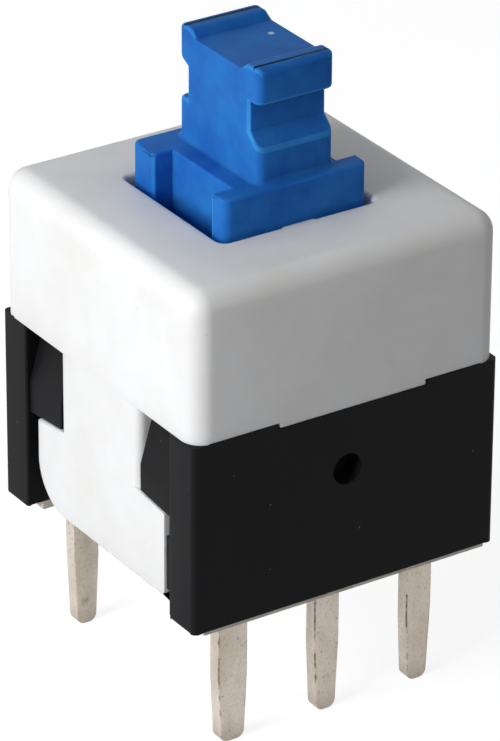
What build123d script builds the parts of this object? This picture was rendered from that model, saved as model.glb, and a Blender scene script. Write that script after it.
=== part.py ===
from build123d import *
import math
import os

os.makedirs("parts", exist_ok=True)

# Self-locking pushbutton switch for a circuit board, two poles, six terminals.
# Millimetres. +Z is up, Z = 0 is the plane that lies on the board, and X = Y = 0 is the body's middle.
# X runs along the terminal rows. The body's front is the face at -Y.

# Whole body
body_width = 8.0             # along X
body_depth = 8.0             # along Y

# Seal plate under the base
seal_thickness = 0.2
seal_inset = 0.2             # back from the base's outer faces
seal_corner = 0.25           # cut short of the base's corners along X
seal_shift = 0.14            # plate's middle beside the body's middle, along X

# Base
base_wall = 1.0              # front and rear walls
base_floor = 1.0
joint_rise = 0.27            # line where cover and base meet, above the terminal blades
base_corner_round = 0.15     # outer upright corners
base_edge_round = 0.06       # inner upright edges of the walls' ends
hook_reach = 1.34            # from the wall's inner face towards the neck
hook_thickness = 0.6
hook_setback = 0.1           # hook and tongue behind the body's side
hook_catch_height = 2.6      # underside of the hook, at the wall
hook_catch_rise = 0.14       # how much higher the underside is at the hook's end
hook_lead_height = 3.4       # where the sloped lead-in starts
hook_lead_depth = 0.4
key_width = 3.9              # shallow dip in the wall top that takes the cover's key
key_depth = 0.12
key_shift = 0.14             # dip's middle beside the body's middle, along X
core_hole_diameter = 0.75    # blind moulding hole in front of the middle terminal
core_hole_height = 3.2
core_hole_depth = 0.5
front_pad_depth = 0.1        # thickened ends of the front wall, beside the tongues
guide_rib_depth = 0.22       # thicker again below, beside the tongues' ears
guide_rib_length = 0.7
guide_rib_bottom = 0.8
guide_rib_top = 2.15
spring_boss_gap = 0.15       # locating boss to the inside of the spring
spring_boss_height = 0.6

# Cover
cover_wall = 0.8
cover_top = 0.9
cover_corner = 0.5           # upright corners
cover_top_round = 0.5        # edges of the top
cover_inner_corner = 0.3
hole_clearance = 0.15        # cover hole to plunger column, each side
hole_edge_round = 0.1
tab_width = 0.8              # small tabs in the middle of the hole's front and rear edges
tab_depth = 0.1
neck_gap = 0.08              # neck of the side tongue, to the hooks' ends
ear_gap = 0.13               # ears below the hooks, to the front wall's ribs
neck_round = 0.2             # outer front edge of the neck
tongue_bottom = 0.55
tongue_rear_round = 1.1
tongue_front_round = 0.15
tongue_hook_gap = 0.04       # ear to the underside of the hook
tongue_floor_gap = 0.1       # tongue to the side of the base's floor
key_gap = 0.03               # cover's key to the sides of its dip

# Plunger
plunger_travel = 2.5
plunger_lock = 1.5           # travel at which the heart cam holds
plunger_stop_gap = 0.05      # shoulder to the underside of the cover at rest
plunger_floor_gap = 0.2      # slider to the base's floor when fully pressed
column_width = 3.76          # square column in the cover's hole
column_height = 0.9          # above the cover at rest
column_corner = 0.22
column_edge_round = 0.07
column_recess = 0.5          # recess in each side, between the corner lugs
column_recess_width = 2.34
column_recess_shift = -0.2   # recess's middle beside the column's middle, along Y
stem_width = 2.0             # along X
stem_depth = 3.2             # along Y
stem_height = 2.7            # above the column
stem_shift = 0.17            # stem's middle beside the column's middle, along X
stem_corner = 0.2
stem_foot_round = 0.12
band_depth = 0.37            # groove in the stem's front and rear for a key cap
front_band_low = 0.79        # heights above the column: outer edge, inner edge, top
front_band_floor = 1.13
front_band_high = 1.85
rear_band_low = 0.96
rear_band_ceiling = 1.76
rear_band_high = 1.95
ridge_width = 0.5            # rounded ridges along the stem's front and rear top edges
ridge_height = 0.18
ridge_round = 0.17
rail_width = 0.35            # upright guide rails at the slider's corners
rail_gap = 0.1               # rail to the tongue's inner face
rail_latch_gap = 0.25        # rail to the latch pin at the end of its swing
spring_bore_gap = 0.2        # spring to the wall of its bore
spring_ceiling = 0.9         # solid plunger between bore and shoulder
track_end_wall = 0.19        # solid plunger between the latch track and the shoulder

# Return spring
spring_diameter = 2.3        # outside
spring_wire = 0.25
spring_turns = 7

# Terminals
terminal_pitch = 2.5
blade_proud = 0.08           # contact plane in front of the wall's inner face
terminal_thickness = 0.36
pin_width = 0.66
wide_pin_width = 0.77        # pin of the terminal that closes when pressed
pin_tip_taper = 0.08         # narrowing of each edge towards the tip
pin_length = 3.28            # below the board plane
pin_taper_length = 1.7
pin_tip_round = 0.2
blade_foot = 0.55            # above the board plane, where a pin widens into its blade
middle_blade_width = 1.4
side_blade_inner = 1.2       # side blades' inner edge from the middle
blade_above_tip = 0.25       # blade's top above the fingers' tips at rest
blade_joggle = 0.3           # how far a set-back blade lies behind the contact plane
open_pad_drop = 1.2          # top of the contact face that is touched when pressed, below the tips
closed_pad_drop = 0.8        # bottom of the contact face that is touched at rest, below the tips

# Moving contacts
contact_thickness = 0.15
contact_height = 2.3         # plate's top above the finger tips
contact_tip_rise = 0.4       # finger tips above the slider's bottom
contact_room = 0.72          # slider's face to the contact plane
contact_gap = 0.03           # finger tip to the terminal blade
contact_finger_width = 0.9
contact_finger_pitch = 1.65
contact_tip_round = 0.25
contact_tail = 0.42
pip_diameter = 0.5           # plastic pips that hold the contact on the slider
pip_height = 0.3
pip_gap = 0.03
pip_spacing = 2.0
pip_setback = 0.5            # pip's middle below the top of the plate

# Latch pin
latch_wire = 0.4
latch_bend = 0.3             # centre line
latch_leg_rise = 0.6         # upper leg above the slider's bottom at rest
latch_foot_length = 0.6      # straight foot in the base
latch_side_gap = 0.1         # shank to the slider's side
latch_bore_gap = 0.03        # foot to its bore
track_depth = 0.5
track_side_gap = 0.06        # leg to the track's sides
track_floor_gap = 0.05       # leg's end to the track's floor

# Places that follow from the sizes, across the body
wall_inner = body_depth / 2 - base_wall
contact_plane = wall_inner - blade_proud
terminal_row = contact_plane + terminal_thickness / 2
slider_face = contact_plane - contact_room
slider_depth = 2 * slider_face
tongue_outer = body_width / 2 - hook_setback
cover_inner_x = body_width / 2 - cover_wall
cover_inner_y = body_depth / 2 - cover_wall
floor_half_width = cover_inner_x - tongue_floor_gap
hook_end = wall_inner - hook_reach
neck_half = hook_end - neck_gap
ear_half = wall_inner - guide_rib_depth - ear_gap
hole_width = column_width + 2 * hole_clearance
latch_plane = cover_inner_x - latch_side_gap - latch_wire / 2
slider_width = 2 * (latch_plane - latch_wire / 2 - latch_side_gap)
latch_swing = slider_face - rail_width - rail_latch_gap - latch_wire / 2
spring_boss_diameter = spring_diameter - 2 * (spring_wire + spring_boss_gap)

# Places that follow from the sizes, up from the board
base_bottom = seal_thickness
floor_top = base_bottom + base_floor
slider_bottom = floor_top + plunger_floor_gap + plunger_travel
contact_tip_height = slider_bottom + contact_tip_rise
contact_plate_top = contact_tip_height + contact_height
blade_top = contact_tip_height + blade_above_tip
open_pad_top = contact_tip_height - open_pad_drop
closed_pad_bottom = contact_tip_height - closed_pad_drop
joint_height = blade_top + joint_rise
latch_pivot_height = base_bottom + base_floor / 2
latch_leg_height = slider_bottom + latch_leg_rise
latch_arm = latch_leg_height - latch_pivot_height
latch_angle = math.asin(latch_swing / latch_arm)
track_top = latch_leg_height + plunger_travel + latch_wire / 2 + track_side_gap
shoulder_height = track_top + track_end_wall
cover_underside = shoulder_height + plunger_stop_gap
body_height = cover_underside + cover_top
column_top = body_height + column_height
bore_ceiling = shoulder_height - spring_ceiling


def block(x0, x1, y0, y1, z0, z1):
    """Box between two corners."""
    middle = Pos((x0 + x1) / 2, (y0 + y1) / 2, (z0 + z1) / 2)
    return middle * Box(abs(x1 - x0), abs(y1 - y0), abs(z1 - z0))


def prism(plane, corners, length):
    """Closed outline drawn in a plane and pulled along the plane's normal."""
    outline = make_face(plane * Polyline(*corners, close=True))
    return extrude(outline, amount=length, dir=plane.z_dir)


def both_sides(solid, plane):
    """The solid and its mirror image in a plane through the middle."""
    return [solid, mirror(solid, about=plane)]


def catch_height(across):
    """Height of the hooks' sloped undersides, at a distance along Y from the middle."""
    return hook_catch_height + hook_catch_rise * (wall_inner - across) / hook_reach


def tongue():
    """Side tongue at +X: a neck between the hooks and two ears caught below them."""
    neck_foot = catch_height(neck_half) - tongue_hook_gap
    ear_top = catch_height(ear_half) - tongue_hook_gap
    corners = [
        (-neck_half, joint_height),
        (-neck_half, neck_foot),
        (-ear_half, ear_top),
        (-ear_half, tongue_bottom),
        (ear_half, tongue_bottom),
        (ear_half, ear_top),
        (neck_half, neck_foot),
        (neck_half, joint_height),
    ]
    solid = Pos(cover_inner_x, 0, 0) * prism(Plane.YZ, corners, tongue_outer - cover_inner_x)
    low_edges = solid.edges().filter_by(Axis.X).group_by(Axis.Z)[0].sort_by(Axis.Y)
    solid = fillet(low_edges[-1], tongue_rear_round)
    low_edges = solid.edges().filter_by(Axis.X).group_by(Axis.Z)[0].sort_by(Axis.Y)
    solid = fillet(low_edges[0], tongue_front_round)
    outer_edges = solid.faces().sort_by(Axis.X)[-1].edges().filter_by(Axis.Z)
    neck_edge = outer_edges.filter_by_position(Axis.Y, -neck_half, -neck_half)
    return fillet(neck_edge, neck_round)


def cover():
    """White cover: a cap with a square hole, two side tongues and two shallow keys."""
    half_x = body_width / 2
    half_y = body_depth / 2
    shell = block(-half_x, half_x, -half_y, half_y, joint_height, body_height)
    shell = fillet(shell.edges().filter_by(Axis.Z), cover_corner)
    shell = fillet(shell.faces().sort_by(Axis.Z)[-1].edges(), cover_top_round)
    cavity = block(
        -cover_inner_x, cover_inner_x, -cover_inner_y, cover_inner_y, joint_height, cover_underside
    )
    cavity = fillet(cavity.edges().filter_by(Axis.Z), cover_inner_corner)
    hole = block(
        -hole_width / 2, hole_width / 2, -hole_width / 2, hole_width / 2, cover_underside, body_height
    )
    hole = fillet(hole.edges().filter_by(Axis.Z), column_corner)
    shell = shell - cavity - hole
    rim = shell.faces().sort_by(Axis.Z)[-1].inner_wires()[0].edges()
    shell = fillet(rim, hole_edge_round)
    tab = block(
        -tab_width / 2,
        tab_width / 2,
        -hole_width / 2 - hole_edge_round,
        -hole_width / 2 + tab_depth,
        cover_underside,
        body_height - hole_edge_round / 2,
    )
    key_half = key_width / 2 - key_gap
    key = block(-key_half, key_half, -half_y, -cover_inner_y, joint_height - key_depth, joint_height)
    key = Pos(key_shift, 0, 0) * key
    for piece in both_sides(tab, Plane.XZ) + both_sides(key, Plane.XZ) + both_sides(tongue(), Plane.YZ):
        shell = shell + piece
    return shell


def hook():
    """Catch hook on the end of the rear wall at +X: sloped underside, sloped lead-in outside."""
    inner = tongue_outer - hook_thickness
    section = [
        (inner, base_bottom),
        (tongue_outer, base_bottom),
        (tongue_outer, hook_lead_height),
        (tongue_outer - hook_lead_depth, joint_height),
        (inner, joint_height),
    ]
    side_view = [
        (hook_end, catch_height(hook_end)),
        (wall_inner, catch_height(wall_inner)),
        (wall_inner, joint_height),
        (hook_end, joint_height),
    ]
    return (Pos(0, wall_inner, 0) * prism(Plane.XZ, section, hook_reach)) & prism(
        Plane.YZ, side_view, body_width / 2
    )


def latch_seat():
    """Notch in the floor's edge for the latch pin's shank, and the bore for its foot."""
    wall = slider_width / 2 - latch_bore_gap
    room = latch_wire / 2 + base_floor / 2 * math.tan(latch_angle) + track_side_gap
    notch = block(wall, floor_half_width, -room, room, base_bottom, floor_top)
    bore_length = latch_foot_length + latch_side_gap
    bore = Cylinder(latch_wire / 2 + latch_bore_gap, bore_length)
    bore = Pos(wall - bore_length / 2, 0, latch_pivot_height) * Rot(0, 90, 0) * bore
    return notch + bore


def base(terminals):
    """Black base: a floor between two walls, moulded round the six terminals."""
    half_x = body_width / 2
    half_y = body_depth / 2
    body = block(-floor_half_width, floor_half_width, -wall_inner, wall_inner, base_bottom, floor_top)
    wall = block(-half_x, half_x, wall_inner, half_y, base_bottom, joint_height)
    uprights = wall.edges().filter_by(Axis.Z).group_by(Axis.Y)
    wall = fillet(uprights[-1], base_corner_round)
    uprights = wall.edges().filter_by(Axis.Z).group_by(Axis.Y)
    wall = fillet(uprights[0], base_edge_round)
    dip = block(-key_width / 2, key_width / 2, wall_inner, half_y, joint_height - key_depth, joint_height)
    wall = wall - Pos(key_shift, 0, 0) * dip
    rib_start = half_x - guide_rib_length
    rib_end = half_x - base_edge_round
    pad = block(rib_start, rib_end, -wall_inner, -wall_inner + front_pad_depth, base_bottom, joint_height)
    rib = block(
        rib_start, rib_end, -wall_inner, -wall_inner + guide_rib_depth, guide_rib_bottom, guide_rib_top
    )
    boss = Cylinder(spring_boss_diameter / 2, spring_boss_height)
    boss = Pos(0, 0, floor_top + spring_boss_height / 2) * boss
    core_hole = Rot(90, 0, 0) * Cylinder(core_hole_diameter / 2, core_hole_depth)
    core_hole = Pos(0, -half_y + core_hole_depth / 2, core_hole_height) * core_hole
    pieces = both_sides(wall, Plane.XZ) + both_sides(pad, Plane.YZ) + both_sides(rib, Plane.YZ) + [boss]
    for side_hook in both_sides(hook(), Plane.YZ):
        pieces += both_sides(side_hook, Plane.XZ)
    for piece in pieces:
        body = body + piece
    body = body - core_hole - latch_seat()
    for terminal in terminals:
        body = body - terminal
    return body


def seal_plate(terminals):
    """Thin pale plate under the base, open where the terminals pass."""
    half_y = body_depth / 2 - seal_inset
    bar_half_x = body_width / 2 - seal_corner
    middle_half_x = floor_half_width - seal_inset
    plate = block(-middle_half_x, middle_half_x, -wall_inner, wall_inner, 0, seal_thickness)
    bar = block(-bar_half_x, bar_half_x, wall_inner, half_y, 0, seal_thickness)
    for piece in both_sides(bar, Plane.XZ):
        plate = plate + Pos(seal_shift, 0, 0) * piece
    for terminal in terminals:
        plate = plate - terminal
    return plate


def stamped_outline(place, width, blade_left, blade_right, top):
    """Front view of one terminal: rounded, tapered pin below, wider blade above."""
    taper_start = -pin_length + pin_taper_length
    half = width / 2
    tip = half - pin_tip_taper
    corners = [
        (place - tip, -pin_length),
        (place + tip, -pin_length),
        (place + half, taper_start),
        (place + half, blade_foot),
        (place - half, blade_foot),
        (place - half, taper_start),
    ]
    pin = Pos(0, body_depth, 0) * prism(Plane.XZ, corners, 2 * body_depth)
    tip_edges = pin.edges().filter_by(Axis.Y).group_by(Axis.Z)[0]
    pin = fillet(tip_edges, pin_tip_round)
    return pin + block(blade_left, blade_right, -body_depth, body_depth, blade_foot, top)


def formed_strip(joggled):
    """Side view of a terminal in the rear wall: straight, or set back between foot and pad."""
    near = terminal_row - terminal_thickness / 2
    far = terminal_row + terminal_thickness / 2
    foot_bend = blade_foot + terminal_thickness
    if not joggled:
        return block(-body_width / 2, body_width / 2, near, far, -pin_length, blade_top)
    corners = [
        (near, -pin_length),
        (near, foot_bend),
        (near + blade_joggle, foot_bend + blade_joggle),
        (near + blade_joggle, closed_pad_bottom - blade_joggle),
        (near, closed_pad_bottom),
        (near, blade_top),
        (far, blade_top),
        (far, closed_pad_bottom),
        (far + blade_joggle, closed_pad_bottom - blade_joggle),
        (far + blade_joggle, foot_bend + blade_joggle),
        (far, foot_bend),
        (far, -pin_length),
    ]
    return Pos(-body_width / 2, 0, 0) * prism(Plane.YZ, corners, body_width)


def rear_terminals():
    """The rear row: closed at rest (left), common (middle) and closed when pressed (right)."""
    blade_outer = terminal_pitch + wide_pin_width / 2
    left = stamped_outline(-terminal_pitch, pin_width, -blade_outer, -side_blade_inner, blade_top)
    middle = stamped_outline(0, pin_width, -middle_blade_width / 2, middle_blade_width / 2, blade_top)
    right = stamped_outline(terminal_pitch, wide_pin_width, side_blade_inner, blade_outer, open_pad_top)
    return {
        "left": left & formed_strip(joggled=True),
        "middle": middle & formed_strip(joggled=False),
        "right": right & formed_strip(joggled=False),
    }


def stem():
    """Key-cap stem: grooves front and rear, rounded corners and two rounded ridges on top."""
    half = stem_depth / 2
    groove = half - band_depth
    top = column_top + stem_height
    inner = half - ridge_width
    corners = [
        (-half, column_top),
        (-half, column_top + front_band_low),
        (-groove, column_top + front_band_floor),
        (-groove, column_top + front_band_high),
        (-half, column_top + front_band_high),
        (-half, top),
        (-inner, top),
        (-inner + ridge_height, top - ridge_height),
        (inner - ridge_height, top - ridge_height),
        (inner, top),
        (half, top),
        (half, column_top + rear_band_high),
        (groove, column_top + rear_band_ceiling),
        (groove, column_top + rear_band_low),
        (half, column_top + rear_band_low),
        (half, column_top),
    ]
    solid = Pos(-stem_width / 2, 0, 0) * prism(Plane.YZ, corners, stem_width)
    solid = fillet(solid.edges().filter_by(Axis.X).group_by(Axis.Z)[-1], ridge_round)
    envelope = block(-stem_width / 2, stem_width / 2, -half, half, column_top, top)
    envelope = fillet(envelope.edges().filter_by(Axis.Z), stem_corner)
    return Pos(stem_shift, 0, 0) * (solid & envelope)


def column():
    """Square column with a lug at each corner and a recess in each side at +X and -X."""
    half = column_width / 2
    solid = block(-half, half, -half, half, shoulder_height, column_top)
    solid = fillet(solid.edges().filter_by(Axis.Z), column_corner)
    recess_half = column_recess_width / 2
    recess = block(half - column_recess, half, -recess_half, recess_half, shoulder_height, column_top)
    recess = Pos(0, column_recess_shift, 0) * recess
    for piece in both_sides(recess, Plane.YZ):
        solid = solid - piece
    return fillet(solid.faces().sort_by(Axis.Z)[-1].edges(), column_edge_round)


def leg_place(travel):
    """Where the latch pin's upper leg lies on the slider's side, for a given travel."""
    angle = latch_angle * travel / plunger_travel
    across = latch_arm * math.sin(angle)
    up = latch_pivot_height + latch_arm * math.cos(angle) + travel
    return across, up


def heart_cam():
    """Heart-shaped track: two lanes, a bridge at the top and the notch that locks the switch."""
    width = latch_wire + 2 * track_side_gap
    start, middle, end = leg_place(0), leg_place(plunger_travel / 2), leg_place(plunger_travel)
    lane = SlotArc(ThreePointArc(start, middle, end), width)
    bridge = SlotCenterToCenter(2 * end[0], width)
    bridge = Pos(0, end[1]) * bridge
    notch_length = end[1] - (latch_leg_height + plunger_lock)
    notch = SlotCenterToCenter(notch_length, width, rotation=90)
    notch = Pos(0, end[1] - notch_length / 2) * notch
    track = Sketch() + [lane, mirror(lane, about=Plane.YZ), bridge, notch]
    track = extrude(Plane.YZ * track, amount=track_depth, dir=Plane.YZ.z_dir)
    return Pos(slider_width / 2 - track_depth, 0, 0) * track


def slider():
    """Part of the plunger under the cover: bored for the spring, railed at its corners."""
    half_x = slider_width / 2
    solid = block(-half_x, half_x, -slider_face, slider_face, slider_bottom, shoulder_height)
    rail_outer = cover_inner_x - rail_gap
    rail = block(half_x, rail_outer, slider_face - rail_width, slider_face, slider_bottom, shoulder_height)
    for side_rail in both_sides(rail, Plane.YZ):
        for piece in both_sides(side_rail, Plane.XZ):
            solid = solid + piece
    bore_depth = bore_ceiling - slider_bottom
    bore = Cylinder(spring_diameter / 2 + spring_bore_gap, bore_depth)
    solid = solid - Pos(0, 0, slider_bottom + bore_depth / 2) * bore
    pip = Cylinder(pip_diameter / 2, pip_height)
    pip = Rot(90, 0, 0) * pip
    for x in (-pip_spacing / 2, pip_spacing / 2):
        for y in (-slider_face - pip_height / 2, slider_face + pip_height / 2):
            solid = solid + Pos(x, y, contact_plate_top - pip_setback) * pip
    return solid - heart_cam()


def plunger():
    """Blue plunger in one piece: slider, column and stem, with a rounded foot where the stem starts."""
    solid = column() + stem()
    level = solid.edges().filter_by_position(Axis.Z, column_top, column_top)
    foot = level.filter_by_position(Axis.Y, -stem_depth / 2, stem_depth / 2)
    foot = foot.filter_by_position(Axis.X, stem_shift - stem_width / 2, stem_shift + stem_width / 2)
    return fillet(foot, stem_foot_round) + slider()


def rear_moving_contact():
    """Springy three-finger contact on the slider's rear face."""
    near = slider_face + contact_thickness / 2
    apex = contact_plane - contact_gap - contact_thickness / 2
    corner = apex + contact_tip_round * (math.sqrt(2) - 1)
    bend_height = contact_tip_height + corner - near
    path = FilletPolyline(
        (near, contact_plate_top),
        (near, bend_height),
        (corner, contact_tip_height),
        (corner - contact_tail, contact_tip_height - contact_tail),
        radius=contact_tip_round,
    )
    strip = Plane.YZ * trace(path, line_width=contact_thickness)
    finger = extrude(strip, amount=contact_finger_width / 2, both=True)
    half = contact_finger_pitch + contact_finger_width / 2
    plate_bottom = bend_height + contact_tip_round
    solid = block(
        -half,
        half,
        slider_face,
        slider_face + contact_thickness,
        plate_bottom,
        contact_plate_top,
    )
    for x in (-contact_finger_pitch, 0, contact_finger_pitch):
        solid = solid + Pos(x, 0, 0) * finger
    for x in (-pip_spacing / 2, pip_spacing / 2):
        pip_hole = Rot(90, 0, 0) * Cylinder(pip_diameter / 2 + pip_gap, slider_depth)
        solid = solid - Pos(x, slider_face, contact_plate_top - pip_setback) * pip_hole
    return solid


def return_spring():
    """Coil spring between the base's floor and the ceiling of the plunger's bore."""
    height = bore_ceiling - floor_top - spring_wire
    radius = (spring_diameter - spring_wire) / 2
    path = Pos(0, 0, floor_top + spring_wire / 2) * Helix(height / spring_turns, height, radius)
    start = Plane(origin=path @ 0, z_dir=path % 0)
    return sweep(start * Circle(spring_wire / 2), path=path, is_frenet=True)


def latch_pin():
    """Wire staple: its foot turns in the base and its upper leg runs in the heart cam."""
    foot_end = latch_plane - latch_bend - latch_foot_length
    leg_end = slider_width / 2 - track_depth + track_floor_gap
    path = Plane.XZ * FilletPolyline(
        (foot_end, latch_pivot_height),
        (latch_plane, latch_pivot_height),
        (latch_plane, latch_leg_height),
        (leg_end, latch_leg_height),
        radius=latch_bend,
    )
    section = Plane(origin=path @ 0, z_dir=path % 0) * Circle(latch_wire / 2)
    return sweep(section, path=path)


def write(name, solid):
    """One STEP file for one piece."""
    export_step(solid, f"parts/{name}.step")


opposite = {"left": "right", "middle": "middle", "right": "left"}
rear_row = rear_terminals()
front_row = {opposite[place]: Rot(0, 0, 180) * solid for place, solid in rear_row.items()}
all_terminals = list(rear_row.values()) + list(front_row.values())

write("cover", cover())
write("base", base(all_terminals))
write("base_seal", seal_plate(all_terminals))
write("plunger", plunger())
write("return_spring", return_spring())
write("latch_pin", latch_pin())
rear_contact = rear_moving_contact()
write("moving_contact_rear", rear_contact)
write("moving_contact_front", mirror(rear_contact, about=Plane.XZ))
for place, solid in rear_row.items():
    write(f"terminal_rear_{place}", solid)
for place, solid in front_row.items():
    write(f"terminal_front_{place}", solid)
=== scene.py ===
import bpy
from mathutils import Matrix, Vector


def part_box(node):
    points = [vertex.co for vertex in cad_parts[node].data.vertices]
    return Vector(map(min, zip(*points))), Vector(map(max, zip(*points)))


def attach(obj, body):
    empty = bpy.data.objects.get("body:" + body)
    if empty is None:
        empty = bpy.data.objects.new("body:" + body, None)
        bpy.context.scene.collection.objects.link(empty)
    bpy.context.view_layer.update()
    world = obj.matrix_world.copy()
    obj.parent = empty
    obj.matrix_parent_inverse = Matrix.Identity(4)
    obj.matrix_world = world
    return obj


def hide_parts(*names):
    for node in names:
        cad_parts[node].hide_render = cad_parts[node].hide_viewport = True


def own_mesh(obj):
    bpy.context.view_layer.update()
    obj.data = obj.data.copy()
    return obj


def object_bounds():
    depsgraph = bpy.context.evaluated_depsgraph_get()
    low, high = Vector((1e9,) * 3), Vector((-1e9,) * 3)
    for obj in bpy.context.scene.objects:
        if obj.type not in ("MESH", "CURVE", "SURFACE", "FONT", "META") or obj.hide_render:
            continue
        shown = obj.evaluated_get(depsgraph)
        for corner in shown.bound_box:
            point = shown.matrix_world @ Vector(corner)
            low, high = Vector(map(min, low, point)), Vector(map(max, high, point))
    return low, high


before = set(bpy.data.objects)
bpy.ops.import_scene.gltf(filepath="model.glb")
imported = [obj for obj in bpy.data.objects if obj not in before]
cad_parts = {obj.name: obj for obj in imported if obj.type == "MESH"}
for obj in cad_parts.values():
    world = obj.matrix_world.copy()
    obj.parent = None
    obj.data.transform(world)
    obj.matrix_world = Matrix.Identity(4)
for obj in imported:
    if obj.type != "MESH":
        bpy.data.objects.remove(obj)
cad_box = [list(corner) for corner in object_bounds()]

import math

import bmesh
import bpy
from mathutils import Matrix, Vector

MM = 0.001


# ---------------------------------------------------------------------------------------------
# Six terminals, stamped from tin-plated brass strip and cast into the base. The punch leaves
# torn lines along their edges, painted dark partly as the shade of the burr, and the thin tin is
# stained, pitted and darker towards the tips.

SHARP_ANGLE = math.radians(28)
FLAT_ANGLE = math.radians(0.4)
WELD_REACH = 0.001 * MM
MOST_CORNERS = 60
ROUNDING_STEPS = 3
ROOM_SHARE = 0.42
STAMPED_SLANT = 0.2
SHEARED_EDGE = 0.03 * MM
TIN_PALE = (0.70, 0.63, 0.55, 1)
TIN_WARM = (0.57, 0.49, 0.40, 1)
TIN_STAIN = (0.20, 0.165, 0.135, 1)
TIN_TIP = (0.25, 0.215, 0.19, 1)
SHEAR_DARK_AND_SHADE = (0.07, 0.055, 0.045, 1)
PIN_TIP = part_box("terminal_front_left")[0][2]
TIP_REACH = 0.55 * MM
TIN_METAL = 0.55

# Marks in one metre of the surface.
TIN_PATCHES = 1500
TIN_STAINS = 3300
TIN_GRAIN = 14000
TIP_PATCHES = 5200
TIN_PITS = 9000
SHEAR_TEARS_AND_SHADE = 2600


def room_beside(edge, least_slant):
    """Width free beside an edge, where its neighbours turn off by more than the least slant."""
    along = (edge.verts[1].co - edge.verts[0].co).normalized()
    room = math.inf
    for loop in edge.link_loops:
        for side in (loop.link_loop_prev.edge, loop.link_loop_next.edge):
            reach = (side.verts[1].co - side.verts[0].co).cross(along).length
            if reach > least_slant * side.calc_length():
                room = min(room, reach)
    return room


def eased_piece(node, name, edge_width, skin, edge_skin=None, least_slant=0.02):
    """A closed copy of one CAD piece, its outer edges rounded where they have room beside them."""
    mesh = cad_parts[node].data.copy()
    mesh.name = name
    if "custom_normal" in mesh.attributes:
        mesh.attributes.remove(mesh.attributes["custom_normal"])
    shape = bmesh.new()
    shape.from_mesh(mesh)
    bmesh.ops.remove_doubles(shape, verts=shape.verts, dist=WELD_REACH)
    bmesh.ops.dissolve_limit(
        shape, angle_limit=FLAT_ANGLE, verts=shape.verts, edges=shape.edges
    )
    many_cornered = [face for face in shape.faces if len(face.verts) > MOST_CORNERS]
    bmesh.ops.triangulate(shape, faces=many_cornered)
    for face in shape.faces:
        face.smooth = True
        face.material_index = 0
    weight = shape.edges.layers.float.new("bevel_weight_edge")
    for edge in shape.edges:
        if edge.calc_face_angle(0) > SHARP_ANGLE:
            roomy = ROOM_SHARE * room_beside(edge, least_slant) > edge_width
            edge.smooth = edge.is_convex and roomy
            edge[weight] = float(edge.smooth)
    shape.to_mesh(mesh)
    shape.free()
    mesh.materials.clear()
    mesh.materials.append(skin)
    mesh.materials.append(edge_skin or skin)
    piece = bpy.data.objects.new(name, mesh)
    bpy.context.scene.collection.objects.link(piece)
    bevel = piece.modifiers.new("rounded_edges", "BEVEL")
    bevel.width = edge_width
    bevel.segments = ROUNDING_STEPS
    bevel.limit_method = "WEIGHT"
    bevel.use_clamp_overlap = False
    bevel.harden_normals = True
    bevel.material = 1
    graph = bpy.context.evaluated_depsgraph_get()
    piece.data = bpy.data.meshes.new_from_object(piece.evaluated_get(graph))
    piece.modifiers.clear()
    low_corner, high_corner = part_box(node)
    for vertex in piece.data.vertices:
        for axis in range(3):
            vertex.co[axis] = min(max(vertex.co[axis], low_corner[axis]), high_corner[axis])
    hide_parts(node)
    return piece


def fresh_skin(name, roughness, shine=0.5):
    """An empty material: the material, its nodes, its links and its shader."""
    material = bpy.data.materials.new(name)
    material.use_nodes = True
    shader = material.node_tree.nodes["Principled BSDF"]
    shader.inputs["Roughness"].default_value = roughness
    shader.inputs["Specular IOR Level"].default_value = shine
    return material, material.node_tree.nodes, material.node_tree.links, shader


def speckle(nodes, links, scale, detail=3.0, roughness=0.5, stretch=(1, 1, 1)):
    """Noise through the piece's thickness; scale is marks in one metre."""
    place = nodes.new("ShaderNodeTexCoord")
    mapping = nodes.new("ShaderNodeMapping")
    mapping.inputs["Scale"].default_value = stretch
    noise = nodes.new("ShaderNodeTexNoise")
    noise.inputs["Scale"].default_value = scale
    noise.inputs["Detail"].default_value = detail
    noise.inputs["Roughness"].default_value = roughness
    links.new(place.outputs["Object"], mapping.inputs["Vector"])
    links.new(mapping.outputs["Vector"], noise.inputs["Vector"])
    return noise.outputs["Fac"]


def graded(nodes, links, value, stops):
    """Colours along a value; stops are (value, colour)."""
    node = nodes.new("ShaderNodeValToRGB")
    elements = node.color_ramp.elements
    while len(elements) < len(stops):
        elements.new(0.5)
    for element, (place, colour) in zip(elements, stops):
        element.position = place
        element.color = colour
    links.new(value, node.inputs["Fac"])
    return node.outputs["Color"]


def between(nodes, links, value, low, high, start=0.0, end=1.0):
    """A value from start to end spread over low to high."""
    node = nodes.new("ShaderNodeMapRange")
    node.inputs["From Min"].default_value = start
    node.inputs["From Max"].default_value = end
    node.inputs["To Min"].default_value = low
    node.inputs["To Max"].default_value = high
    links.new(value, node.inputs["Value"])
    return node.outputs["Result"]


def over(nodes, links, amount, under, top):
    """The top colour laid over another by an amount."""
    node = nodes.new("ShaderNodeMix")
    node.data_type = "RGBA"
    links.new(amount, node.inputs["Factor"])
    links.new(under, node.inputs["A"])
    if isinstance(top, tuple):
        node.inputs["B"].default_value = top
    else:
        links.new(top, node.inputs["B"])
    return node.outputs["Result"]


def relief(nodes, links, shader, height, depth, strength=0.4):
    """Fine relief of the surface from a height value."""
    bump = nodes.new("ShaderNodeBump")
    bump.inputs["Distance"].default_value = depth
    bump.inputs["Strength"].default_value = strength
    links.new(height, bump.inputs["Height"])
    links.new(bump.outputs["Normal"], shader.inputs["Normal"])


def product(nodes, links, first, second):
    """Two values multiplied."""
    node = nodes.new("ShaderNodeMath")
    node.operation = "MULTIPLY"
    links.new(first, node.inputs[0])
    links.new(second, node.inputs[1])
    return node.outputs[0]


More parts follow.
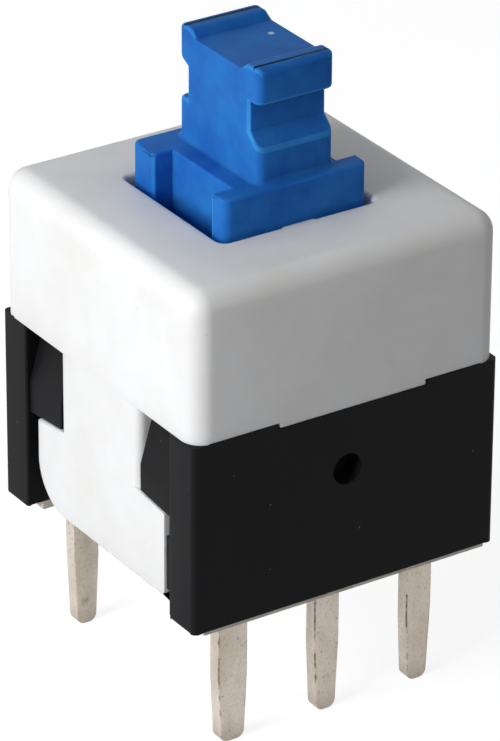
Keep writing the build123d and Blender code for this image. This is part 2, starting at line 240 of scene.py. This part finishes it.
def share_of_height(nodes, links, clear, full):
    """Zero at one height of the piece, rising evenly to one at another."""
    place = nodes.new("ShaderNodeTexCoord")
    parts = nodes.new("ShaderNodeSeparateXYZ")
    links.new(place.outputs["Object"], parts.inputs["Vector"])
    return between(nodes, links, parts.outputs["Z"], 0.0, 1.0, clear, full)


def tinned_strip(name, torn_and_shaded):
    """Tin over brass: warm patches, brown stains, grain, darker tips, pits and, on edges, dark tears partly
    painted as shade.
    """
    material, nodes, links, shader = fresh_skin(name, 0.38)
    patches = speckle(nodes, links, TIN_PATCHES, 5.0, 0.6, (1, 1, 0.45))
    colour = graded(nodes, links, patches, [(0.30, TIN_WARM), (0.62, TIN_PALE)])
    stains = speckle(nodes, links, TIN_STAINS, 4.0, 0.65, (1, 1, 0.6))
    colour = over(nodes, links, between(nodes, links, stains, 0.0, 0.50, 0.63, 0.74), colour, TIN_STAIN)
    grain = speckle(nodes, links, TIN_GRAIN, 3.0, 0.7)
    colour = over(nodes, links, between(nodes, links, grain, 0.0, 0.45, 0.52, 0.75), colour, TIN_STAIN)
    # Darker towards the pins' tips, in patches.
    tip = share_of_height(nodes, links, PIN_TIP + TIP_REACH, PIN_TIP)
    tip_patches = speckle(nodes, links, TIP_PATCHES, 4.0, 0.7)
    colour = over(nodes, links, product(nodes, links, tip, tip_patches), colour, TIN_TIP)
    pits = speckle(nodes, links, TIN_PITS, 2.0, 0.5)
    colour = over(nodes, links, between(nodes, links, pits, 0.0, 0.6, 0.70, 0.75), colour, TIN_STAIN)
    if torn_and_shaded:
        # On the sheared edges: dark torn lines, partly painted shade of the punch burr.
        tear_and_shade = speckle(nodes, links, SHEAR_TEARS_AND_SHADE, 4.0, 0.7, (1, 1, 0.5))
        colour = over(nodes, links, between(nodes, links, tear_and_shade, 0.0, 0.85, 0.48, 0.60), colour, SHEAR_DARK_AND_SHADE)
    links.new(colour, shader.inputs["Base Color"])
    shader.inputs["Metallic"].default_value = TIN_METAL
    links.new(between(nodes, links, patches, 0.5, 0.32, 0.3, 0.7), shader.inputs["Roughness"])
    relief(nodes, links, shader, stains, 0.012 * MM, 0.5)
    return material


tin_skin = tinned_strip("tin_plate", torn_and_shaded=False)
torn_and_shaded_skin = tinned_strip("tin_plate_torn_and_shaded_edge", torn_and_shaded=True)
for row in ("front", "rear"):
    for place in ("left", "middle", "right"):
        pin = eased_piece(
            f"terminal_{row}_{place}",
            f"stamped_terminal_{row}_{place}",
            SHEARED_EDGE,
            tin_skin,
            torn_and_shaded_skin,
            least_slant=STAMPED_SLANT,
        )
        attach(pin, "housing")

# ---------------------------------------------------------------------------------------------
# The base, one black thermoset moulding cast round the terminals: two walls on a floor, with a
# catch hook at each upper corner. It has a dull skin, a faint mottle and a few specks of dust.

BASE_EDGE = 0.035 * MM
BASE_BLACK = (0.0060, 0.0060, 0.0068, 1)
BASE_BLOOM = (0.0115, 0.0115, 0.0130, 1)
DUST = (0.30, 0.29, 0.28, 1)
BASE_SHINE = 0.07
BASE_MOTTLE = 700
BASE_SPECKS = 5200
BASE_GRAIN = 12000


def black_thermoset():
    """Black moulding with a mottled bloom, rare dust specks and the grain of its mould."""
    material, nodes, links, shader = fresh_skin("black_thermoset", 0.5, shine=BASE_SHINE)
    bloom = speckle(nodes, links, BASE_MOTTLE, 5.0, 0.6, (1, 1, 0.4))
    colour = graded(nodes, links, bloom, [(0.35, BASE_BLACK), (0.72, BASE_BLOOM)])
    dust = speckle(nodes, links, BASE_SPECKS, 1.0, 0.4)
    colour = over(nodes, links, between(nodes, links, dust, 0.0, 0.4, 0.80, 0.83), colour, DUST)
    links.new(colour, shader.inputs["Base Color"])
    links.new(between(nodes, links, bloom, 0.42, 0.6, 0.3, 0.7), shader.inputs["Roughness"])
    relief(nodes, links, shader, speckle(nodes, links, BASE_GRAIN, 3.0, 0.6), 0.006 * MM, 0.5)
    return material


base_piece = eased_piece("base", "base_moulding", BASE_EDGE, black_thermoset())
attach(base_piece, "housing")

# ---------------------------------------------------------------------------------------------
# The seal plate, a pale fibre sheet pushed over the pins and stuck under the base to keep flux
# out. Its cut edge shows as a light line below the black wall.

SEAL_EDGE = 0.025 * MM
SEAL_PALE = (0.92, 0.87, 0.80, 1)
SEAL_TAN = (0.74, 0.66, 0.57, 1)
SEAL_SOAK = 1900
SEAL_FIBRES = 9000


def seal_fibre():
    """Pale pressed fibre, tan where the glue has soaked in."""
    material, nodes, links, shader = fresh_skin("seal_fibre", 0.7, shine=0.3)
    soak = speckle(nodes, links, SEAL_SOAK, 5.0, 0.65, (1, 1, 3))
    links.new(graded(nodes, links, soak, [(0.34, SEAL_TAN), (0.55, SEAL_PALE)]), shader.inputs["Base Color"])
    fibres = speckle(nodes, links, SEAL_FIBRES, 4.0, 0.7, (1, 1, 4))
    relief(nodes, links, shader, fibres, 0.015 * MM, 0.5)
    return material


seal_piece = eased_piece("base_seal", "seal_plate", SEAL_EDGE, seal_fibre())
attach(seal_piece, "housing")

# ---------------------------------------------------------------------------------------------
# The latch pin, a bent staple of bright stainless wire. Its foot turns in the base, and its
# upper leg runs in the plunger's track and holds the switch down.

WIRE_BRIGHT = (0.66, 0.66, 0.67, 1)
WIRE_DULL = (0.47, 0.46, 0.46, 1)
WIRE_STREAKS = 9000


def drawn_wire(name, bright, dull):
    """Drawn wire: long faint streaks along its height and a little dullness."""
    material, nodes, links, shader = fresh_skin(name, 0.25)
    streaks = speckle(nodes, links, WIRE_STREAKS, 3.0, 0.6, (1, 1, 0.12))
    links.new(graded(nodes, links, streaks, [(0.3, dull), (0.65, bright)]), shader.inputs["Base Color"])
    shader.inputs["Metallic"].default_value = 1.0
    links.new(between(nodes, links, streaks, 0.36, 0.2, 0.3, 0.7), shader.inputs["Roughness"])
    relief(nodes, links, shader, streaks, 0.004 * MM, 0.4)
    return material


latch_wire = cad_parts["latch_pin"]
latch_wire.data.materials.clear()
latch_wire.data.materials.append(drawn_wire("latch_wire", WIRE_BRIGHT, WIRE_DULL))

# ---------------------------------------------------------------------------------------------
# The return spring, coiled from spring wire. Its end coils close up to stand flat on the floor
# of the base and under the roof of the plunger's bore.

SPRING_TURNS = 7.0
SPRING_WIRE = 0.25 * MM
COIL_CLOSING = 0.6
STEPS_PER_TURN = 40
WIRE_SIDES = 12
COIL_WELD = 0.0001 * MM
SPRING_BRIGHT = (0.62, 0.61, 0.60, 1)
SPRING_DULL = (0.40, 0.39, 0.38, 1)


def coil_tree(wire_skin):
    """A coil whose pitch is least at both ends; its sizes are inputs."""
    tree = bpy.data.node_groups.new("return_coil", "GeometryNodeTree")
    face = tree.interface
    face.new_socket("Geometry", in_out="OUTPUT", socket_type="NodeSocketGeometry")
    for label in ("Turns", "Coil Radius", "Wire Radius", "Foot", "Height", "End Closing"):
        face.new_socket(label, in_out="INPUT", socket_type="NodeSocketFloat")
    nodes, links = tree.nodes, tree.links
    sizes = nodes.new("NodeGroupInput")
    out = nodes.new("NodeGroupOutput")

    def worked_out(kind, first, second=None):
        """The result of one sum on sockets or numbers."""
        node = nodes.new("ShaderNodeMath")
        node.operation = kind
        for socket, value in zip(node.inputs, (first, second)):
            if isinstance(value, float):
                socket.default_value = value
            elif value is not None:
                links.new(value, socket)
        return node.outputs[0]

    line = nodes.new("GeometryNodeMeshLine")
    line.inputs["Count"].default_value = int(SPRING_TURNS * STEPS_PER_TURN) + 1
    wire = nodes.new("GeometryNodeMeshToCurve")
    links.new(line.outputs["Mesh"], wire.inputs["Mesh"])
    index = nodes.new("GeometryNodeInputIndex")
    share = worked_out("DIVIDE", index.outputs[0], SPRING_TURNS * STEPS_PER_TURN)
    turn = worked_out("MULTIPLY", worked_out("MULTIPLY", share, sizes.outputs["Turns"]), math.tau)
    wave = worked_out("SINE", worked_out("MULTIPLY", share, math.tau))
    closing = worked_out("MULTIPLY", worked_out("DIVIDE", wave, math.tau), sizes.outputs["End Closing"])
    rise = worked_out("MULTIPLY", worked_out("SUBTRACT", share, closing), sizes.outputs["Height"])
    point = nodes.new("ShaderNodeCombineXYZ")
    across = worked_out("MULTIPLY", worked_out("COSINE", turn), sizes.outputs["Coil Radius"])
    along = worked_out("MULTIPLY", worked_out("SINE", turn), sizes.outputs["Coil Radius"])
    links.new(across, point.inputs["X"])
    links.new(along, point.inputs["Y"])
    links.new(worked_out("ADD", rise, sizes.outputs["Foot"]), point.inputs["Z"])
    bend = nodes.new("GeometryNodeSetPosition")
    links.new(wire.outputs["Curve"], bend.inputs["Geometry"])
    links.new(point.outputs["Vector"], bend.inputs["Position"])
    section = nodes.new("GeometryNodeCurvePrimitiveCircle")
    section.inputs["Resolution"].default_value = WIRE_SIDES
    links.new(sizes.outputs["Wire Radius"], section.inputs["Radius"])
    tube = nodes.new("GeometryNodeCurveToMesh")
    links.new(bend.outputs["Geometry"], tube.inputs["Curve"])
    links.new(section.outputs["Curve"], tube.inputs["Profile Curve"])
    tube.inputs["Fill Caps"].default_value = True
    real = nodes.new("GeometryNodeRealizeInstances")
    links.new(tube.outputs["Mesh"], real.inputs["Geometry"])
    paint = nodes.new("GeometryNodeSetMaterial")
    paint.inputs["Material"].default_value = wire_skin
    links.new(real.outputs["Geometry"], paint.inputs["Geometry"])
    links.new(paint.outputs["Geometry"], out.inputs["Geometry"])
    return tree


def plain_mesh(holder, name):
    """The result of an object's modifiers as a new object with a plain mesh, its faces outwards."""
    graph = bpy.context.evaluated_depsgraph_get()
    mesh = bpy.data.meshes.new_from_object(holder.evaluated_get(graph))
    mesh.name = name
    bpy.data.objects.remove(holder)
    shape = bmesh.new()
    shape.from_mesh(mesh)
    bmesh.ops.remove_doubles(shape, verts=shape.verts, dist=COIL_WELD)
    bmesh.ops.recalc_face_normals(shape, faces=shape.faces)
    for face in shape.faces:
        face.smooth = len(face.verts) == 4
    shape.to_mesh(mesh)
    shape.free()
    piece = bpy.data.objects.new(name, mesh)
    bpy.context.scene.collection.objects.link(piece)
    return piece


def wound_spring():
    """The spring at rest, between the two ends of its CAD piece."""
    low_end, high_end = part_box("return_spring")
    foot = low_end[2] + SPRING_WIRE / 2
    holder = bpy.data.objects.new("coil_holder", bpy.data.meshes.new("coil_holder"))
    bpy.context.scene.collection.objects.link(holder)
    coil = holder.modifiers.new("coil", "NODES")
    coil.node_group = coil_tree(drawn_wire("spring_wire", SPRING_BRIGHT, SPRING_DULL))
    values = {
        "Turns": SPRING_TURNS,
        "Coil Radius": (high_end[0] - low_end[0] - SPRING_WIRE) / 2,
        "Wire Radius": SPRING_WIRE / 2,
        "Foot": foot,
        "Height": high_end[2] - SPRING_WIRE / 2 - foot,
        "End Closing": COIL_CLOSING,
    }
    for socket in coil.node_group.interface.items_tree:
        if socket.in_out == "INPUT":
            coil[socket.identifier] = values[socket.name]
    return plain_mesh(holder, "return_coil")


spring_piece = wound_spring()
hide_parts("return_spring")
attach(spring_piece, "housing")
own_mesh(spring_piece)

# ---------------------------------------------------------------------------------------------
# The plunger, one blue acetal moulding: a slider inside the cover, a square column with corner
# lugs in the cover's hole, and the grooved stem that takes a key cap. A small pale spot is painted
# on top as a highlight where a glint shows, and its rounded edges take a lighter blue, a painted
# edge highlight.

PLUNGER_EDGE = 0.07 * MM
BLUE_DEEP = (0.012, 0.110, 0.43, 1)
BLUE_CLEAR = (0.024, 0.185, 0.54, 1)
BLUE_EDGE_HIGHLIGHT = (0.040, 0.270, 0.62, 1)
PAINTED_GLINT_SPOT = (0.76 * MM, 0.32 * MM, 11.82 * MM)
PAINTED_GLINT_RADIUS = 0.09 * MM
PAINTED_GLINT_PALE = (0.46, 0.68, 0.90, 1)
BLUE_SHINE = 0.06
BLUE_GLOW_DEPTH = 0.7 * MM
BLUE_CLOUDS = 900
BLUE_FLOW = 2600
MOULDED_SLANT = 0.2


def near_point(nodes, links, point, radius):
    """One within half a radius of a point of the piece, zero beyond the radius."""
    place = nodes.new("ShaderNodeTexCoord")
    away = nodes.new("ShaderNodeVectorMath")
    away.operation = "DISTANCE"
    away.inputs[1].default_value = point
    links.new(place.outputs["Object"], away.inputs[0])
    return between(nodes, links, away.outputs["Value"], 1.0, 0.0, radius / 2, radius)


def blue_acetal(name, deep, clear):
    """Blue acetal, a little cloudy, with a soft skin, fine flow marks and a painted highlight: a pale spot
    on top where a glint shows.
    """
    material, nodes, links, shader = fresh_skin(name, 0.4, shine=BLUE_SHINE)
    cloud = speckle(nodes, links, BLUE_CLOUDS, 6.0, 0.62)
    colour = graded(nodes, links, cloud, [(0.32, deep), (0.70, clear)])
    # Painted highlight: a pale spot on the stem's top where a glint shows.
    painted_glint = near_point(nodes, links, PAINTED_GLINT_SPOT, PAINTED_GLINT_RADIUS)
    links.new(over(nodes, links, painted_glint, colour, PAINTED_GLINT_PALE), shader.inputs["Base Color"])
    shader.inputs["Subsurface Weight"].default_value = 0.5
    shader.inputs["Subsurface Radius"].default_value = (0.1, 0.4, 1.0)
    shader.inputs["Subsurface Scale"].default_value = BLUE_GLOW_DEPTH
    links.new(between(nodes, links, cloud, 0.42, 0.56, 0.3, 0.7), shader.inputs["Roughness"])
    flow = speckle(nodes, links, BLUE_FLOW, 5.0, 0.6, (1, 1, 0.5))
    relief(nodes, links, shader, flow, 0.012 * MM, 0.45)
    return material


plunger_piece = eased_piece(
    "plunger",
    "blue_plunger",
    PLUNGER_EDGE,
    blue_acetal("blue_acetal", BLUE_DEEP, BLUE_CLEAR),
    # Painted highlight: the rounded edges take a lighter blue than the faces.
    blue_acetal("blue_acetal_painted_edge_highlight", BLUE_CLEAR, BLUE_EDGE_HIGHLIGHT),
    least_slant=MOULDED_SLANT,
)
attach(plunger_piece, "plunger_body")

# ---------------------------------------------------------------------------------------------
# Two moving contacts, three springy fingers each, pressed from silvered bronze and held on the
# slider by two moulded pips.

SILVER_PALE = (0.72, 0.70, 0.66, 1)
SILVER_TARNISH = (0.50, 0.43, 0.33, 1)
TARNISH_CLOUDS = 1700
ROLLING_LINES = 14000


def silvered_bronze():
    """Silver plate with warm tarnish and fine rolling lines."""
    material, nodes, links, shader = fresh_skin("silvered_bronze", 0.3)
    tarnish = speckle(nodes, links, TARNISH_CLOUDS, 4.0, 0.6)
    colour = graded(nodes, links, tarnish, [(0.32, SILVER_TARNISH), (0.55, SILVER_PALE)])
    links.new(colour, shader.inputs["Base Color"])
    shader.inputs["Metallic"].default_value = 1.0
    links.new(between(nodes, links, tarnish, 0.42, 0.24, 0.3, 0.6), shader.inputs["Roughness"])
    rolling = speckle(nodes, links, ROLLING_LINES, 2.0, 0.5, (1, 1, 0.08))
    relief(nodes, links, shader, rolling, 0.003 * MM, 0.4)
    return material


contact_skin = silvered_bronze()
for row in ("front", "rear"):
    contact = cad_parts[f"moving_contact_{row}"]
    contact.data.materials.clear()
    contact.data.materials.append(contact_skin)

# ---------------------------------------------------------------------------------------------
# The cover, one white nylon moulding: a cap with a square hole for the plunger and a tongue down
# each side, whose ears catch under the hooks of the base.

COVER_EDGE = 0.045 * MM
NYLON_WHITE = (0.84, 0.845, 0.85, 1)
NYLON_CREAM = (0.78, 0.775, 0.76, 1)
NYLON_GRIME = (0.42, 0.39, 0.36, 1)
NYLON_GLOW_DEPTH = 0.5 * MM
NYLON_CLOUDS = 420
NYLON_SPECKS = 4200
NYLON_SKIN = 2400


def white_nylon():
    """White nylon, faintly creamy in places, with rare grey specks and a soft moulded skin."""
    material, nodes, links, shader = fresh_skin("white_nylon", 0.5, shine=0.4)
    cloud = speckle(nodes, links, NYLON_CLOUDS, 5.0, 0.6)
    colour = graded(nodes, links, cloud, [(0.32, NYLON_CREAM), (0.62, NYLON_WHITE)])
    specks = speckle(nodes, links, NYLON_SPECKS, 1.0, 0.4)
    colour = over(nodes, links, between(nodes, links, specks, 0.0, 0.22, 0.80, 0.83), colour, NYLON_GRIME)
    links.new(colour, shader.inputs["Base Color"])
    shader.inputs["Subsurface Weight"].default_value = 0.3
    shader.inputs["Subsurface Radius"].default_value = (1.0, 0.9, 0.8)
    shader.inputs["Subsurface Scale"].default_value = NYLON_GLOW_DEPTH
    links.new(between(nodes, links, cloud, 0.44, 0.58, 0.3, 0.7), shader.inputs["Roughness"])
    relief(nodes, links, shader, speckle(nodes, links, NYLON_SKIN, 6.0, 0.65), 0.012 * MM, 0.4)
    return material


cover_piece = eased_piece("cover", "white_cover", COVER_EDGE, white_nylon())
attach(cover_piece, "housing")

# ---------------------------------------------------------------------------------------------
# The studio: a white table under the pins' tips, a white surround, a near soft lamp low on the
# left, and large weaker ones above and in front.

low, high = (Vector(corner) for corner in cad_box)
middle = (low + high) / 2
TABLE_SIZE = 600 * MM
TABLE_SHADE = (0.40, 0.40, 0.41, 1)
TABLE_GLOW = 0.82
SURROUND = 0.20

# Each lamp's direction from the switch, distance, width, power and colour.
LAMPS = {
    "key_lamp": ((-1.0, -0.10, 0.38), 80 * MM, 48 * MM, 0.061, (1.0, 1.0, 1.0)),
    "top_lamp": ((-0.35, 0.55, 1.0), 400 * MM, 260 * MM, 0.10, (0.95, 0.97, 1.0)),
    "front_lamp": ((0.35, -1.0, 0.40), 450 * MM, 260 * MM, 0.13, (1.0, 0.98, 0.96)),
}


def white_for_the_eye(nodes, links, eye_shader, light_shader):
    """One shader for what sees the surface directly or mirrored, another for what it lights."""
    rays = nodes.new("ShaderNodeLightPath")
    seen = rays.outputs["Is Camera Ray"]
    for other in ("Is Glossy Ray", "Is Transmission Ray"):
        larger = nodes.new("ShaderNodeMath")
        larger.operation = "MAXIMUM"
        links.new(seen, larger.inputs[0])
        links.new(rays.outputs[other], larger.inputs[1])
        seen = larger.outputs[0]
    choice = nodes.new("ShaderNodeMixShader")
    links.new(seen, choice.inputs["Fac"])
    links.new(light_shader, choice.inputs[1])
    links.new(eye_shader, choice.inputs[2])
    return choice.outputs["Shader"]


def studio_table():
    """A matt table that reads as white and keeps the switch's shadow."""
    bpy.ops.mesh.primitive_plane_add(size=TABLE_SIZE, location=(0, 0, low.z))
    table = bpy.context.object
    table.name = "studio_table"
    material = bpy.data.materials.new("table_white")
    material.use_nodes = True
    nodes, links = material.node_tree.nodes, material.node_tree.links
    nodes.clear()
    matt = nodes.new("ShaderNodeBsdfDiffuse")
    matt.inputs["Color"].default_value = TABLE_SHADE
    glow = nodes.new("ShaderNodeEmission")
    glow.inputs["Strength"].default_value = TABLE_GLOW
    lit = nodes.new("ShaderNodeAddShader")
    links.new(matt.outputs["BSDF"], lit.inputs[0])
    links.new(glow.outputs["Emission"], lit.inputs[1])
    out = nodes.new("ShaderNodeOutputMaterial")
    seen = white_for_the_eye(nodes, links, lit.outputs["Shader"], matt.outputs["BSDF"])
    links.new(seen, out.inputs["Surface"])
    table.data.materials.append(material)


def soft_lamp(name, direction, distance, size, power, colour):
    """A square soft lamp turned to the switch's middle."""
    light = bpy.data.lights.new(name, "AREA")
    light.size = size
    light.energy = power
    light.color = colour
    lamp = bpy.data.objects.new(name, light)
    aim = Vector(direction).normalized()
    lamp.location = middle + aim * distance
    lamp.rotation_euler = (-aim).to_track_quat("-Z", "Y").to_euler()
    bpy.context.scene.collection.objects.link(lamp)


def surround():
    """A white room, seen at full white and lighting the switch softly."""
    world = bpy.data.worlds.new("studio_surround")
    world.use_nodes = True
    bpy.context.scene.world = world
    nodes, links = world.node_tree.nodes, world.node_tree.links
    seen = nodes["Background"]
    seen.inputs["Color"].default_value = (1, 1, 1, 1)
    seen.inputs["Strength"].default_value = 1.0
    soft = nodes.new("ShaderNodeBackground")
    soft.inputs["Color"].default_value = (0.97, 0.98, 1.0, 1)
    soft.inputs["Strength"].default_value = SURROUND
    shown = white_for_the_eye(nodes, links, seen.outputs["Background"], soft.outputs["Background"])
    links.new(shown, nodes["World Output"].inputs["Surface"])


studio_table()
for name, (direction, distance, size, power, colour) in LAMPS.items():
    soft_lamp(name, direction, distance, size, power, colour)
surround()

# ---------------------------------------------------------------------------------------------
# The camera: a long lens turned to the switch's front left edge from a little above, so that the
# cover's top, its left tongue and the base's front wall all show.

CAMERA_AZIMUTH = math.radians(-33.333)
CAMERA_ELEVATION = math.radians(27.275)
CAMERA_ROLL = math.radians(0.368)
CAMERA_DISTANCE = 114.707 * MM
CAMERA_AIM = Vector((0, 0, 4.7 * MM))
CAMERA_ASIDE = 0.042 * MM
CAMERA_DROP = 0.724 * MM
LENS = 249.47
SENSOR = 36.0


def long_lens():
    """The camera, level but for a slight roll, a little below its aim."""
    flat = math.cos(CAMERA_ELEVATION)
    back = Vector((
        math.sin(CAMERA_AZIMUTH) * flat,
        -math.cos(CAMERA_AZIMUTH) * flat,
        math.sin(CAMERA_ELEVATION),
    ))
    level = Vector((math.cos(CAMERA_AZIMUTH), math.sin(CAMERA_AZIMUTH), 0))
    upright = back.cross(level)
    right = level * math.cos(CAMERA_ROLL) + upright * math.sin(CAMERA_ROLL)
    up = upright * math.cos(CAMERA_ROLL) - level * math.sin(CAMERA_ROLL)
    place = CAMERA_AIM + right * CAMERA_ASIDE - up * CAMERA_DROP + back * CAMERA_DISTANCE
    lens = bpy.data.cameras.new("long_lens")
    lens.lens = LENS
    lens.sensor_width = SENSOR
    lens.clip_start = 10 * MM
    camera = bpy.data.objects.new("long_lens", lens)
    turn = Matrix((right, up, back)).transposed().to_4x4()
    camera.matrix_world = Matrix.Translation(place) @ turn
    bpy.context.scene.collection.objects.link(camera)
    bpy.context.scene.camera = camera


long_lens()
bpy.context.scene.view_settings.view_transform = "Standard"
